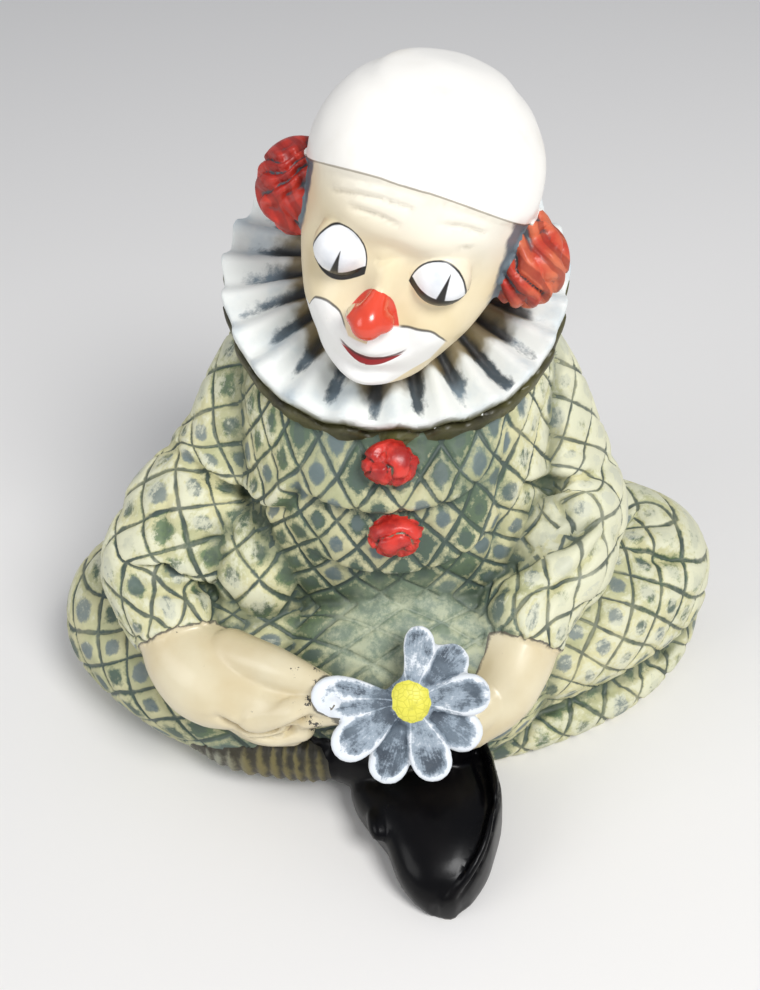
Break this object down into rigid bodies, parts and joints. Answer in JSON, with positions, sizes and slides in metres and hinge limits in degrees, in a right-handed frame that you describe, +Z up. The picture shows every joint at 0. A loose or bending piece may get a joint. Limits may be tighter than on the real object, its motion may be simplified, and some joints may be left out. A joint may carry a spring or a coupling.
{
  "type": "clown figurine",
  "caption": "Painted cast figurine of a clown who sits cross-legged in a lozenge-pattern suit and pleated ruff, looking down at a daisy held in both hands.",
  "frame": {"origin": "on the surface it stands on, under the middle of the figure's box", "axes": "+Z up, -Y the way the clown and its shoe face, +X towards the clown's left knee"},
  "size_m": [0.1514, 0.1236, 0.1471],
  "materials": {
    "painted_casting": "satin"
  },
  "bodies": {
    "root": {"clown_figurine": "painted_casting"}
  },
  "joints": []
}
